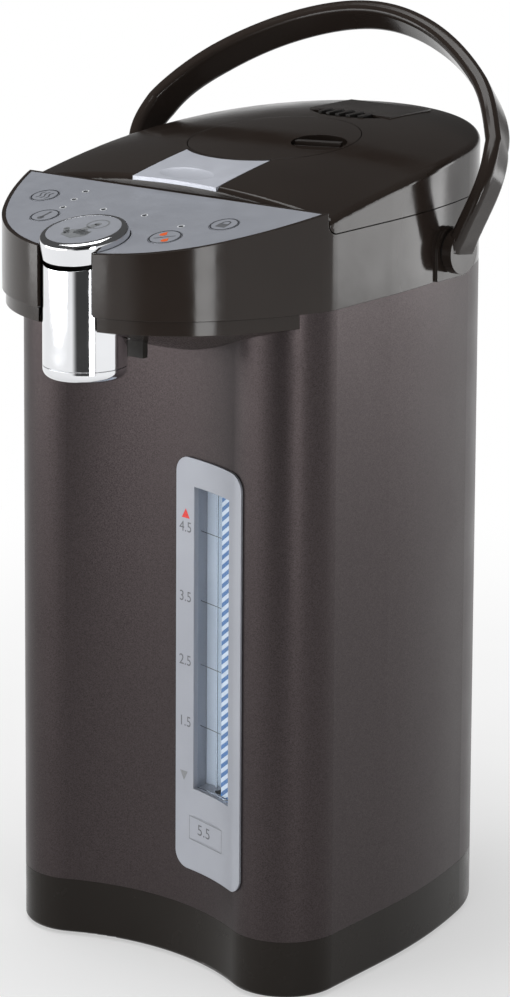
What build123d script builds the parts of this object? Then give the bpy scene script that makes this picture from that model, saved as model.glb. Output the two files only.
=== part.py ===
from build123d import *
import os
from math import atan2, cos, degrees, radians, sin, sqrt, tan

# Electric thermo pot, millimetres. +Z up, -Y towards the user, z = 0 on the table.

# ---- inner pot and the room round it -------------------------------------------
pot_radius = 93.0
pot_side_gap = 12.0           # from the pot to the casing's sides
pot_front = 5.0               # pot's front behind the corner line
pot_back_gap = 13.2           # from the pot to the casing's back

# ---- body outline in plan ------------------------------------------------------
body_width = 2 * (pot_radius + pot_side_gap)
corner_radius = 31.8          # front corners
front_sag = 16.8              # how far the hollow front lies behind the corners
side_straight = 48.0          # flat part of each side
back_depth = pot_front + 2 * pot_radius + pot_back_gap - side_straight
back_corner_radius = 90.0
side_turn = 14.0              # where the side's arc meets the rear corner, degrees
corner_turn = 76.0            # where the rear corner meets the back's arc
nose_reach = 99.0             # nose tip ahead of the corner line
nose_side_radius = 200.0
nose_departure = 20.0         # where the nose leaves the corner round, degrees
spout_slot_half = 19.0        # slot in the nose ahead of the spout
corner_x = body_width / 2 - corner_radius
nose_arm = nose_side_radius - corner_radius
side_centre_x = corner_x - nose_arm * cos(radians(nose_departure))
side_centre_rise = nose_arm * sin(radians(nose_departure))
tip_rise = side_centre_rise + nose_reach
tip_radius = (side_centre_x ** 2 + tip_rise ** 2 - nose_side_radius ** 2) / (2 * (tip_rise - nose_side_radius))
spout_reach = 80.8            # spout's axis ahead of the corner line
cap_radius = 24.0
corner_y = (spout_reach + cap_radius - side_straight - back_depth) / 2
front_centre = (corner_x ** 2 - front_sag ** 2) / (2 * front_sag)
front_radius = front_centre - corner_radius + front_sag
back_y = corner_y + side_straight + back_depth

# ---- levels --------------------------------------------------------------------
foot_height = 1.5
base_height = 31.5
casing_height = 343.6
collar_height = 40.3
panel_back_rise = 11.5        # panel's back edge above the parting line
base_top = foot_height + base_height
head_seam = base_top + casing_height
parting = head_seam + collar_height
panel_back_z = parting + panel_back_rise

# ---- walls and clearances ------------------------------------------------------
wall = 2.5
sheet = 0.6
fit_gap = 0.1                 # between pieces that are fitted together
run_gap = 0.3                 # between pieces that move
line_gap = 0.5                # visible parting lines

# ---- base ----------------------------------------------------------------------
base_edge_radius = 2.5
base_floor = 5.0
cover_inset = 16.0
cover_thickness = 2.0
cover_ledge = 12.0            # ledge that the bottom cover is screwed to
foot_radius = 9.0
foot_inset = 39.0
foot_rows = (8.0, 130.0)      # behind the corner line
foot_recess = 1.0
cover_screw_radius = 1.6
cover_head_radius = 3.2
cover_head_height = 1.2
screw_rows = (4.0, 48.0)      # behind the corner line
inlet_width = 34.0
inlet_height = 20.0
inlet_depth = 24.0
inlet_wall = 2.0
inlet_pin_radius = 2.0
inlet_pin_spacing = 13.0

# ---- inner pot and what is under it ---------------------------------------------
pot_sheet = 1.0
pot_floor_z = 83.0
pot_y = corner_y + pot_front + pot_radius
neck_radius = 72.0
neck_height = 12.0
shoulder_height = 16.0
pot_rim_width = 8.0
band_heater_rise = 20.0       # above the pot's floor
band_heater_height = 40.0
band_heater_thickness = 2.0
disc_heater_radius = 60.0
disc_heater_inner = 34.0
disc_heater_thickness = 5.0
stand_ring_width = 4.0
stand_post_radius = 5.0
stand_ring_height = 13.0
post_angles = (0.0, 60.0, 120.0, 180.0, 270.0)
thermostat_radius = 9.0
thermostat_height = 10.0
outlet_x = 39.0
outlet_radius = 5.0
outlet_bore = 3.5
outlet_length = 11.0

board_z = 15.0

# ---- level gauge -----------------------------------------------------------------
gauge_x = 38.3
gauge_width = 57.3
gauge_bottom = 55.0
gauge_top = 286.6
gauge_corner = 9.0
gauge_proud = 1.4
gauge_slot_x = 39.5
gauge_slot_width = 32.0
gauge_slot_bottom = 101.5
gauge_slot_top = 271.0
gauge_slot_depth = 15.0
gauge_wall = 1.5
window_thickness = 1.0
window_setback = 1.5
tube_x = 39.0
tube_radius = 4.0
tube_bore = 2.8

# ---- pump --------------------------------------------------------------------------
pump_y = corner_y + 42.0
motor_radius = 16.0
motor_height = 30.0
motor_z = 14.0
pump_radius = 20.0
pump_height = 16.0
chamber_radius = 15.5
chamber_height = 9.0
impeller_radius = 13.5
impeller_hub = 4.0
impeller_blades = 6
axle_radius = 1.5
hose_wall = 1.8
hose_bend = 11.0

# ---- panel and spout -----------------------------------------------------------
panel_slope = 11.9            # degrees, falling towards the user
panel_back_y = corner_y - 9.2
panel_thickness = 1.5
panel_inset = 2.2
spout_y = corner_y - spout_reach
spout_radius = 22.5
spout_wall = 1.6
spout_bottom = 340.0
spout_ring_height = 6.5
spout_ring_edge = 5.0
cap_skirt = 6.0
cap_proud = 5.5
cap_edge = 3.0
cap_travel = 2.0
cap_gap = 0.6
channel_wall = 2.0
spring_wire = 0.6
inlay_radius = 20.2
inlay_thickness = 1.0
nozzle_radius = 7.0
nozzle_bore = 4.5
nozzle_reach = 1.5
key_height = 1.2
key_proud = 0.2
key_travel = 0.4
# centre x, centre y from the corner line, width, depth
keys = {
    "boil_key": (6.3 - corner_x, -36.9, 15.5, 16.6),
    "warm_key": (27.6 - corner_x, -61.0, 15.5, 16.6),
    "dispense_key": (corner_x - 32.5, -64.3, 17.5, 18.4),
    "lock_key": (corner_x - 13.3, -39.0, 15.5, 16.6),
}

# ---- nose underside and cup lever ---------------------------------------------------
skirt_inset = 2.0
skirt_drop = 8.0
skirt_wall = 3.0
bowl_floor = 4.0              # above the skirt's lower edge
bowl_bottom = 345.6
bowl_half_width = 50.0
bowl_reach = 38.0
lever_half_width = 12.0
lever_thickness = 4.0
lever_y = corner_y - 46.0
lever_bottom = 345.2
lever_pivot_z = 371.0
lever_pin_radius = 1.5
lever_travel = 12.0

# ---- lid ------------------------------------------------------------------------------
lid_front_y = corner_y - 7.3
lid_front_corner = 6.0
lid_top = 453.0
dome_y = back_y - 39.2
dome_front_drop = 18.17       # crown above the lid's front edge
dome_side_drop = 9.93         # crown above the lid's sides
dome_length_radius = ((dome_y - lid_front_y) ** 2 + dome_front_drop ** 2) / (2 * dome_front_drop)
dome_cross_radius = ((body_width / 2) ** 2 + dome_side_drop ** 2) / (2 * dome_side_drop)
lid_edge = 4.0
lid_wall = 2.5
deck = 3.0
mouth_radius = 71.0
plug_radius = 65.0
plug_depth = 20.0
gasket_width = 5.4
hinge_y = back_y - 5.2
hinge_z = parting + 2.0
knuckle_radius = 4.5
hinge_pin_radius = 1.8
hinge_half = 30.0
lid_knuckle_half = 17.0
tongue_half = 28.5
tongue_front = back_y - 54.2
tongue_back = back_y - 14.2
vent_y = back_y - 57.2
vent_half = 25.0
vent_ribs = 5

# ---- manual pump, lock knob and latch on the lid ------------------------------------
plate_y = pot_y - 17.9
plate_radius = 48.3
plate_travel = 14.0
well_top = 436.0
plate_thickness = 3.0
knob_x = 31.2
knob_dish_radius = 15.6
knob_radius = 14.5
knob_depth = 4.0
knob_shaft = 3.0
bellows_radius = 30.0
bellows_folds = 6
latch_half = 29.0
latch_back_radius = 50.6
latch_thickness = 2.2
latch_pivot_y = corner_y + 2.0
latch_pin_radius = 1.5
latch_arc_gap = 1.0           # behind the latch's curved rear edge
latch_catch = 2.0             # reach of the hook behind its leg
dimple_length = 40.0
dimple_width = 18.0
dimple_depth = 1.5

# ---- handle ----------------------------------------------------------------------------
pivot_y = back_y - 99.2
pivot_z = 392.5
pad_half = 13.0
pad_face_x = body_width / 2 - 1.2
eye_radius = 12.5
eye_thickness = 6.0
washer_radius = 10.0
washer_thickness = 2.0
pin_depth = 4.0
handle_pin_radius = 4.0
strap_width = 20.0
strap_thickness = 9.0
strap_corner = 3.6
# half of the bail's side: x from the pad's face, y and z from the pivot
bail_side = [
    (5.2, 0.0, 0.0),
    (13.2, 3.0, 20.5),
    (18.7, 8.0, 38.5),
    (15.2, 20.0, 56.5),
]
# half of the bail's crown: x, then y and z from the pivot
bail_crown = [
    (94.0, 43.0, 83.0),
    (46.5, 64.3, 106.0),
    (0.0, 71.4, 113.7),
]


# ======== helpers ==========================================================================
def bar(x0, x1, y0, y1, z0, z1):
    """A block between two corners."""
    return Pos((x0 + x1) / 2, (y0 + y1) / 2, (z0 + z1) / 2) * Box(x1 - x0, y1 - y0, z1 - z0)


def post(radius, x, y, z0, z1):
    """An upright cylinder."""
    return Pos(x, y, (z0 + z1) / 2) * Cylinder(radius, z1 - z0)


def pipe(outer, inner, x, y, z0, z1):
    """An upright tube."""
    return post(outer, x, y, z0, z1) - post(inner, x, y, z0 - 1, z1 + 1)


def cross_rod(radius, x0, x1, y, z):
    """A cylinder along X."""
    return Pos((x0 + x1) / 2, y, z) * Rot(Y=90) * Cylinder(radius, x1 - x0)


def raised(face, z0, z1):
    """A flat face stood up between two levels."""
    return Pos(0, 0, z0) * extrude(face, z1 - z0)


def save(name, shape):
    """One STEP file per piece."""
    export_step(shape, f"parts/{name}.step")


def polar(centre, radius, angle):
    """Point on a circle, angle in degrees."""
    return (centre[0] + radius * cos(radians(angle)), centre[1] + radius * sin(radians(angle)))


def round_arc(centre, radius, start, end):
    """Arc of a circle between two angles in degrees."""
    return ThreePointArc(
        polar(centre, radius, start),
        polar(centre, radius, (start + end) / 2),
        polar(centre, radius, end),
    )


# ======== outlines ==========================================================================
def back_radii():
    """Radii of the side's and the back's arcs, which meet the rear corners smoothly."""
    c1, s1 = cos(radians(side_turn)), sin(radians(side_turn))
    c2, s2 = cos(radians(corner_turn)), sin(radians(corner_turn))
    across = body_width / 2 - back_corner_radius * (c1 - c2)
    along = back_depth - back_corner_radius * (s2 - s1)
    whole = (1 - c1) * (1 - s2) - c2 * s1
    return (across * (1 - s2) - c2 * along) / whole, ((1 - c1) * along - s1 * across) / whole


def back_edges(inset):
    """Flat sides and the rounded back, drawn from the right corner to the left."""
    half = body_width / 2 - inset
    start_y = corner_y + side_straight
    side, back = back_radii()
    first = (body_width / 2 - side, start_y)
    second = polar(first, side - back_corner_radius, side_turn)
    third = polar(second, back_corner_radius - back, corner_turn)
    small = back_corner_radius - inset
    return [
        Line((half, corner_y), (half, start_y)),
        round_arc(first, side - inset, 0, side_turn),
        round_arc(second, small, side_turn, corner_turn),
        round_arc(third, back - inset, corner_turn, 180 - corner_turn),
        round_arc((-second[0], second[1]), small, 180 - corner_turn, 180 - side_turn),
        round_arc((-first[0], first[1]), side - inset, 180 - side_turn, 180),
        Line((-half, start_y), (-half, corner_y)),
    ]


def front_edges(inset):
    """Front corners and the hollow front between them."""
    turn = degrees(atan2(front_centre, corner_x))
    right = (corner_x, corner_y)
    left = (-corner_x, corner_y)
    hollow = (0, corner_y - front_centre)
    small = corner_radius - inset
    return [
        round_arc(left, small, 180, 360 - turn),
        round_arc(hollow, front_radius + inset, 180 - turn, turn),
        round_arc(right, small, 180 + turn, 360),
    ]


def nose_edges(inset):
    """The nose from the left corner round to the right."""
    side = (side_centre_x, corner_y + side_centre_rise)
    other = (-side_centre_x, corner_y + side_centre_rise)
    tip = (0, corner_y - nose_reach + tip_radius)
    join = degrees(atan2(tip[1] - side[1], -side[0]))
    small = corner_radius - inset
    long = nose_side_radius - inset
    return [
        round_arc((-corner_x, corner_y), small, 180, 180 + nose_departure),
        round_arc(other, long, 180 + nose_departure, 180 - join),
        round_arc(tip, tip_radius - inset, 180 - join, 360 + join),
        round_arc(side, long, join, -nose_departure),
        round_arc((corner_x, corner_y), small, -nose_departure, 0),
    ]


def body_face(inset=0.0):
    return make_face(front_edges(inset) + back_edges(inset))


def head_face(inset=0.0):
    return make_face(nose_edges(inset) + back_edges(inset))


def nose_face(inset, back):
    """The nose alone, closed straight across at the given y."""
    front = corner_y - nose_reach - 10
    strip = Pos(0, (front + back) / 2) * Rectangle(2 * body_width, back - front)
    return head_face(inset) & strip


def front_surface_y(x):
    """The casing's hollow front at a given x."""
    return corner_y - front_centre + sqrt(front_radius ** 2 - x ** 2)


def panel_z(y):
    """Height of the panel's plane."""
    return panel_back_z + (y - panel_back_y) * tan(radians(panel_slope))


def below_panel(drop, z0, back):
    """Everything under the panel's plane, as far as a given y."""
    front = corner_y - nose_reach - 20
    outline = Polyline(
        (front, z0), (back, z0), (back, panel_z(back) - drop), (front, panel_z(front) - drop), close=True
    )
    face = make_face(Plane.YZ * outline)
    return Pos(-body_width, 0, 0) * extrude(face, 2 * body_width, dir=(1, 0, 0))


def lid_space(gap):
    """The lid's room above the parting line, with its rounded lower front corner."""
    front = lid_front_y - gap
    low = parting - gap
    block = bar(-body_width, body_width, front, back_y + 40, low, lid_top + 60)
    edge = block.edges().filter_by(Axis.X).sort_by(lambda e: e.center().Y + e.center().Z)[0]
    return fillet(edge, lid_front_corner)


def dome(drop):
    """The crowned top: an arc along Y turned about a long axis under it."""
    low = lid_top - dome_cross_radius
    top = lid_top - drop
    reach = 260.0
    centre_z = lid_top - dome_length_radius
    radius = dome_length_radius - drop

    def arc_point(dy):
        return (dome_y + dy, centre_z + sqrt(radius ** 2 - dy ** 2))

    first = arc_point(-reach)
    last = arc_point(reach)
    crown = ThreePointArc(first, (dome_y, top), last)
    sides = Polyline(last, (last[0], low), (first[0], low), first)
    face = make_face(Plane.YZ * (crown + sides))
    return revolve(face, Axis((0, 0, low), (0, 1, 0)))


# ======== base ================================================================================
def foot_places():
    half = body_width / 2 - foot_inset
    return [(side * half, corner_y + row) for side in (-1, 1) for row in foot_rows]


def screw_places():
    half = body_width / 2 - cover_inset - cover_ledge / 2
    return [(side * half, corner_y + row) for side in (-1, 1) for row in screw_rows]


def inlet_block(grow, depth):
    """The power inlet's outer block, grown or shrunk all round."""
    half = inlet_width / 2 + grow
    mid = foot_height + base_floor + inlet_height / 2 + 1
    low = mid - inlet_height / 2 - grow
    high = mid + inlet_height / 2 + grow
    return bar(-half, half, back_y - 1 - depth, back_y + 5, low, high)


def base_housing():
    floor_z = foot_height + base_floor
    shell = raised(body_face(), foot_height, base_top)
    shell = fillet(shell.faces().sort_by(Axis.Z)[0].edges(), base_edge_radius)
    shell -= raised(body_face(wall), floor_z, base_top + 1)
    shell -= raised(body_face(cover_inset + cover_ledge), 0, base_top)
    shell -= raised(body_face(cover_inset - fit_gap), 0, foot_height + cover_thickness)
    shell -= inlet_block(fit_gap, inlet_depth)
    for x, y in screw_places():
        shell -= post(cover_screw_radius + fit_gap, x, y, 0, floor_z + 1)
    return shell


def bottom_cover():
    top = foot_height + cover_thickness
    plate = raised(body_face(cover_inset), foot_height, top)
    for x, y in foot_places():
        plate -= post(foot_radius + fit_gap, x, y, 0, foot_height + foot_recess)
    for row in range(-3, 4):
        slot = extrude(SlotOverall(44, 4), 2 * top)
        plate -= Pos(0, pot_y + 10 * row, 0) * slot
    for x, y in screw_places():
        plate -= post(cover_screw_radius + fit_gap, x, y, 0, top + 1)
        plate -= post(cover_head_radius + fit_gap, x, y, 0, foot_height + cover_head_height)
    return plate


def rubber_feet():
    foot = extrude(Circle(foot_radius), foot_height + foot_recess)
    foot = fillet(foot.faces().sort_by(Axis.Z)[0].edges(), 0.8)
    return Compound([Pos(x, y, 0) * foot for x, y in foot_places()])


def cover_screws():
    screws = []
    for x, y in screw_places():
        shank = post(cover_screw_radius, x, y, foot_height, foot_height + base_floor)
        head = post(cover_head_radius, x, y, foot_height, foot_height + cover_head_height)
        screws.append(shank + head)
    return Compound(screws)


def power_inlet():
    block = inlet_block(0, inlet_depth) - bar(-50, 50, back_y - 1, back_y + 10, 0, base_top)
    return block - inlet_block(-inlet_wall, inlet_depth - inlet_wall)


def inlet_pins():
    mid = foot_height + base_floor + inlet_height / 2 + 1
    back = back_y - 1 - inlet_depth + inlet_wall
    pin = Pos(0, back + inlet_depth / 4, mid) * Rot(X=90) * Cylinder(inlet_pin_radius, inlet_depth / 2)
    return Compound([Pos(side * inlet_pin_spacing / 2, 0, 0) * pin for side in (-1, 1)])


# ======== pot and what heats it ===================================================================
rim_z = parting - deck


def pot_solid(inset):
    """The pot's outer form, or its inside when inset by the sheet."""
    neck_z = rim_z - neck_height
    shoulder_z = neck_z - shoulder_height
    outline = Polyline(
        (0, pot_floor_z + inset),
        (pot_radius - inset, pot_floor_z + inset),
        (pot_radius - inset, shoulder_z),
        (neck_radius - inset, neck_z),
        (neck_radius - inset, rim_z),
        (0, rim_z),
        close=True,
    )
    solid = revolve(make_face(Plane.XZ * outline), Axis.Z)
    corner = solid.edges().filter_by(GeomType.CIRCLE).sort_by(Axis.Z)[0]
    return Pos(0, pot_y, 0) * fillet(corner, 8 - inset)


def inner_pot():
    rim = neck_radius + pot_rim_width
    pot = pot_solid(0) + post(rim, 0, pot_y, rim_z - pot_sheet, rim_z)
    pot += post(outlet_radius, outlet_x, pump_y, pot_floor_z - outlet_length, pot_floor_z + pot_sheet)
    pot -= pot_solid(pot_sheet)
    pot -= post(neck_radius - pot_sheet, 0, pot_y, rim_z - 2, rim_z + 1)
    pot -= post(outlet_bore, outlet_x, pump_y, 0, pot_floor_z + 5)
    return pot


def band_heater():
    low = pot_floor_z + band_heater_rise
    inner = pot_radius + fit_gap
    return pipe(inner + band_heater_thickness, inner, 0, pot_y, low, low + band_heater_height)


def disc_heater():
    low = pot_floor_z - disc_heater_thickness
    return pipe(disc_heater_radius, disc_heater_inner, 0, pot_y, low, pot_floor_z)


def thermostat():
    return post(thermostat_radius, 0, pot_y, pot_floor_z - thermostat_height, pot_floor_z)


def pot_stand():
    outer = pot_radius - 5
    middle = outer - stand_ring_width / 2
    low = pot_floor_z - stand_ring_height
    stand = pipe(outer, outer - stand_ring_width, 0, pot_y, low, pot_floor_z)
    for angle in post_angles:
        x, y = polar((0, pot_y), middle, angle)
        stand += post(stand_post_radius, x, y, foot_height + base_floor, low + 2)
    return stand


# ======== casing and level gauge =====================================================================
def front_band(proud, sunk, low, high):
    """A layer that follows the hollow front, from ahead of the sheet to behind it."""
    outer = Pos(0, corner_y - front_centre, (low + high) / 2) * Cylinder(front_radius + sunk, high - low)
    inner = Pos(0, corner_y - front_centre, (low + high) / 2) * Cylinder(front_radius - proud, high - low + 2)
    return outer - inner


def gauge_box(grow, back):
    """The slot's box, from well ahead of the casing back to a given y."""
    half = gauge_slot_width / 2 + grow
    return bar(
        gauge_slot_x - half, gauge_slot_x + half, corner_y - 60, back, gauge_slot_bottom - grow, gauge_slot_top + grow
    )


gauge_back_y = front_surface_y(gauge_slot_x) + gauge_slot_depth
tube_y = front_surface_y(tube_x) + window_setback + window_thickness + run_gap + tube_radius + 2


def outer_casing():
    casing = raised(body_face(), base_top, head_seam) - raised(body_face(sheet), base_top - 1, head_seam + 1)
    return casing - gauge_box(gauge_wall + fit_gap, corner_y + 10)


def gauge_frame():
    height = gauge_top - gauge_bottom
    plate = RectangleRounded(gauge_width, height, gauge_corner)
    place = Pos(gauge_x, corner_y, (gauge_top + gauge_bottom) / 2) * Rot(X=90)
    frame = place * extrude(plate, 60)
    frame = frame & raised(body_face(-gauge_proud), base_top, head_seam) - raised(body_face(), 0, head_seam + 10)
    walls = gauge_box(gauge_wall, gauge_back_y) - front_room()
    frame = frame + walls - gauge_box(0, gauge_back_y + 1)
    return frame - post(tube_radius + fit_gap, tube_x, tube_y, 0, gauge_top + 20)


def front_room():
    """Everything ahead of the casing's hollow front."""
    return post(front_radius, 0, corner_y - front_centre, foot_height, head_seam)


def gauge_backing():
    slab = bar(-body_width, body_width, gauge_back_y - window_thickness, gauge_back_y, 0, head_seam)
    return gauge_box(-fit_gap, gauge_back_y) & slab


def gauge_window():
    layer = front_band(-window_setback, window_setback + window_thickness, gauge_bottom, gauge_top)
    return gauge_box(-fit_gap, gauge_back_y) & layer


def level_tube():
    return pipe(tube_radius, tube_bore, tube_x, tube_y, gauge_slot_bottom - 22, gauge_slot_top + 26)


# ======== pump and hoses ===============================================================================
pump_z = motor_z + motor_height
port_z = pump_z + pump_height / 2
hose_bore = tube_radius + fit_gap
port_end = pump_y - pump_radius - 12


def motor_cradle():
    low = foot_height + cover_thickness
    return pipe(motor_radius + 2, motor_radius - 3, outlet_x, pump_y, low, motor_z)


def pump_motor():
    motor = post(motor_radius, outlet_x, pump_y, motor_z, pump_z)
    return fillet(motor.faces().sort_by(Axis.Z)[0].edges(), 2)


def pump_housing():
    top = pump_z + pump_height
    chamber_z = pump_z + (pump_height - chamber_height) / 2
    housing = post(pump_radius, outlet_x, pump_y, pump_z, top)
    housing += post(outlet_radius, outlet_x, pump_y, top - 1, top + 8)
    port = Rot(X=90) * Cylinder(tube_radius, pump_y - port_end)
    bore = Rot(X=90) * Cylinder(tube_bore, pump_y - port_end)
    middle = (pump_y + port_end) / 2
    housing += Pos(outlet_x, middle, port_z) * port
    housing -= post(chamber_radius, outlet_x, pump_y, chamber_z, chamber_z + chamber_height)
    housing -= post(outlet_bore, outlet_x, pump_y, port_z, top + 10)
    return housing - Pos(outlet_x, middle - 1, port_z) * bore


def impeller_axle():
    chamber_z = pump_z + (pump_height - chamber_height) / 2
    return post(axle_radius, outlet_x, pump_y, chamber_z, chamber_z + chamber_height - 1)


def pump_impeller():
    low = pump_z + (pump_height - chamber_height) / 2 + run_gap
    disc = post(impeller_radius, outlet_x, pump_y, low, low + 2)
    disc += post(impeller_hub, outlet_x, pump_y, low, low + chamber_height - 2)
    blade = bar(impeller_hub - 1, impeller_radius - 0.5, -0.7, 0.7, low, low + chamber_height - 2)
    for turn in range(impeller_blades):
        disc += Pos(outlet_x, pump_y, 0) * Rot(Z=360 * turn / impeller_blades) * blade
    return disc - post(axle_radius + run_gap, outlet_x, pump_y, 0, pump_z + pump_height)


def hose(points, radius):
    """A hose along straight runs and round bends."""
    path = FilletPolyline(*points, radius=radius)
    start = Plane(origin=path @ 0, z_dir=path % 0)
    outer = sweep(start * Circle(hose_bore + hose_wall), path)
    return outer - sweep(start * Circle(hose_bore), path)


def suction_hose():
    bore = outlet_radius + fit_gap
    top = pump_z + pump_height
    return pipe(bore + hose_wall, bore, outlet_x, pump_y, top + 1, pot_floor_z - 2)


def outlet_hose():
    start = port_end + 8
    top = gauge_slot_bottom - 12
    return hose([(outlet_x, start, port_z), (tube_x, tube_y, port_z), (tube_x, tube_y, top)], hose_bend)


riser_z = head_seam + 10
nozzle_top = riser_z - hose_bend - 1


def riser_hose():
    low = gauge_slot_top + 18
    points = [
        (tube_x, tube_y, low),
        (tube_x, tube_y, riser_z),
        (0, corner_y - 36, riser_z),
        (0, spout_y, riser_z),
        (0, spout_y, riser_z - 20),
    ]
    return hose(points, hose_bend)


# ======== spout =========================================================================================
cap_place = Pos(0, spout_y, panel_z(spout_y)) * Rot(X=panel_slope)
column_top = cap_skirt + cap_travel + cap_gap
ring_top = spout_bottom + spout_ring_height


def under_cap(depth):
    """Everything under a plane that lies below the panel and parallel to it."""
    return cap_place * Pos(0, 0, -depth - 100) * Box(300, 300, 200)


def spout_shell():
    shell = pipe(spout_radius, spout_radius - spout_wall, 0, spout_y, ring_top + run_gap, head_seam + 60)
    shell = shell & under_cap(column_top)
    half = hose_bore + hose_wall + 1
    return shell - bar(-half, half, spout_y, spout_y + 40, riser_z - half, head_seam + 60)


def spout_ring():
    ring = post(spout_radius, 0, spout_y, spout_bottom, ring_top)
    ring = fillet(ring.faces().sort_by(Axis.Z)[0].edges(), spout_ring_edge)
    ring += post(spout_radius - spout_wall - fit_gap, 0, spout_y, ring_top - 1, ring_top + 4)
    bore = spout_radius - spout_wall - 2
    ring -= post(bore, 0, spout_y, spout_bottom + 3, ring_top + 5)
    return ring - post(nozzle_radius + fit_gap, 0, spout_y, spout_bottom - 1, ring_top)


def spout_nozzle():
    low = spout_bottom - nozzle_reach
    flange_z = ring_top + 4
    nozzle = post(nozzle_radius, 0, spout_y, low, flange_z + 8)
    nozzle += post(spout_radius - spout_wall - fit_gap, 0, spout_y, flange_z, flange_z + 2)
    nozzle += post(tube_radius, 0, spout_y, flange_z, nozzle_top)
    nozzle -= post(nozzle_bore, 0, spout_y, low - 1, flange_z + 5)
    return nozzle - post(tube_bore, 0, spout_y, low, nozzle_top + 1)


def button_seat():
    """Bridge in the column that guides the cap's stem."""
    plate = cap_place * Pos(0, 0, -column_top - 4) * Cylinder(60, 2)
    plate = plate & post(spout_radius - spout_wall - fit_gap, 0, spout_y, head_seam, head_seam + 60)
    return plate - cap_place * Pos(0, 0, -column_top) * Cylinder(3 + run_gap, 30)


def spout_button():
    height = cap_skirt + cap_proud
    cap = Pos(0, 0, (cap_proud - cap_skirt) / 2) * Cylinder(cap_radius, height)
    cap = fillet(cap.faces().sort_by(Axis.Z)[-1].edges(), cap_edge)
    cap -= Pos(0, 0, -cap_skirt / 2 - 2) * Cylinder(cap_radius - 2, cap_skirt)
    cap -= Pos(0, 0, cap_proud) * Cylinder(inlay_radius + fit_gap, 2 * inlay_thickness)
    stem = Pos(0, 0, -column_top / 2 - 3) * Cylinder(3, column_top + 2)
    return cap_place * (cap + stem)


def button_inlay():
    return cap_place * Pos(0, 0, cap_proud - inlay_thickness / 2) * Cylinder(inlay_radius, inlay_thickness)


def button_spring():
    seat = -column_top - 3
    length = -2 - seat - 2 * spring_wire - run_gap
    coil = Helix(pitch=length / 3, height=length, radius=5)
    wire = sweep(Plane(origin=coil @ 0, z_dir=coil % 0) * Circle(spring_wire), coil)
    return cap_place * Pos(0, 0, seat + spring_wire) * wire


# ======== collar, nose and panel ============================================================================
def cap_opening(grow, depth):
    """Room for the cap, and the slot in the nose ahead of it."""
    hole = cap_place * Cylinder(cap_radius + grow, depth)
    half = spout_slot_half
    return hole + bar(-half, half, corner_y - nose_reach - 5, spout_y, head_seam - 5, lid_top)


def head_collar():
    top = lid_top + 10
    back = back_y + 10
    collar = raised(head_face(), head_seam, top) & below_panel(0, head_seam - 5, back)
    inside = raised(head_face(wall), head_seam - 1, top) & below_panel(wall + panel_thickness, head_seam - 5, back)
    collar = collar - lid_space(0) - (inside - lid_space(deck))
    for side in (-1, 1):
        collar += handle_pad(side)
    pocket = raised(nose_face(panel_inset, panel_back_y), head_seam, top)
    collar -= pocket - below_panel(panel_thickness, 0, back)
    collar += spout_channel()
    collar -= cap_opening(line_gap, 60)
    collar -= post(mouth_radius, 0, pot_y, rim_z - 1, parting + 1)
    collar -= bar(-9, 9, latch_pivot_y - 4, latch_pivot_y + 2, rim_z - 1, parting + 1)
    collar -= bar(-hinge_half - 10, hinge_half + 10, hinge_y - 6, back, parting - 5.5, top)
    for x in (pad_face_x, -pad_face_x):
        collar -= cross_rod(handle_pin_radius + fit_gap, x - 20, x + 20, pivot_y, pivot_z)
    return collar


def spout_channel():
    """Wall round the column, open behind for the hose."""
    inner = cap_radius + line_gap
    low = head_seam + 2 + fit_gap
    channel = pipe(inner + channel_wall, inner, 0, spout_y, low, lid_top)
    channel = channel & raised(head_face(wall), head_seam, lid_top) & below_panel(wall, 0, back_y)
    half = hose_bore + hose_wall + 1
    return channel - bar(-half, half, spout_y, spout_y + 40, riser_z - half, riser_z + half)


def handle_pad(side):
    """Flat pad on the collar's side under the handle's eye."""
    inner = pad_face_x - 12
    block = bar(inner, pad_face_x, pivot_y - pad_half, pivot_y + pad_half, head_seam, pivot_z)
    block += cross_rod(pad_half, inner, pad_face_x, pivot_y, pivot_z)
    block -= raised(body_face(wall), 0, lid_top)
    return block if side > 0 else mirror(block, Plane.YZ)


def nose_lower_cover():
    back = corner_y + front_sag + 2
    skirt = Pos(0, 0, head_seam - skirt_drop) * nose_face(skirt_inset, back)
    width = bowl_half_width / (body_width / 2 - skirt_inset)
    depth = (bowl_reach + front_sag) / (nose_reach - skirt_inset + front_sag)
    small = Pos(0, back, bowl_bottom) * scale(Pos(0, -back, 0) * nose_face(skirt_inset, back), by=(width, depth, 1))
    cover = raised(nose_face(skirt_inset, back), head_seam - skirt_drop, head_seam - line_gap)
    cover += loft([skirt, small], ruled=True)
    cover += raised(nose_face(wall + fit_gap, back), head_seam - line_gap, head_seam + 2)
    inner = skirt_inset + skirt_wall
    cover -= raised(nose_face(inner, back), head_seam - skirt_drop + bowl_floor, head_seam + 5)
    cover -= raised(body_face(-fit_gap), 0, head_seam + 20)
    cover -= post(cap_radius + line_gap, 0, spout_y, 0, head_seam + 20)
    half = spout_slot_half
    cover -= bar(-half, half, corner_y - nose_reach - 5, spout_y, 0, head_seam + 20)
    cover -= lever_room()
    reach = lever_half_width + 3 + fit_gap
    return cover - cross_rod(lever_pin_radius + fit_gap / 2, -reach, reach, lever_y, lever_pivot_z)


def lever_room():
    """Slot that the cup lever swings in."""
    half = lever_half_width + run_gap
    front = lever_y - lever_thickness / 2 - 1.5
    swing = (lever_pivot_z - lever_bottom) * sin(radians(lever_travel))
    return bar(-half, half, front, lever_y + lever_thickness / 2 + swing + 1, 0, head_seam + 20)


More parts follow.
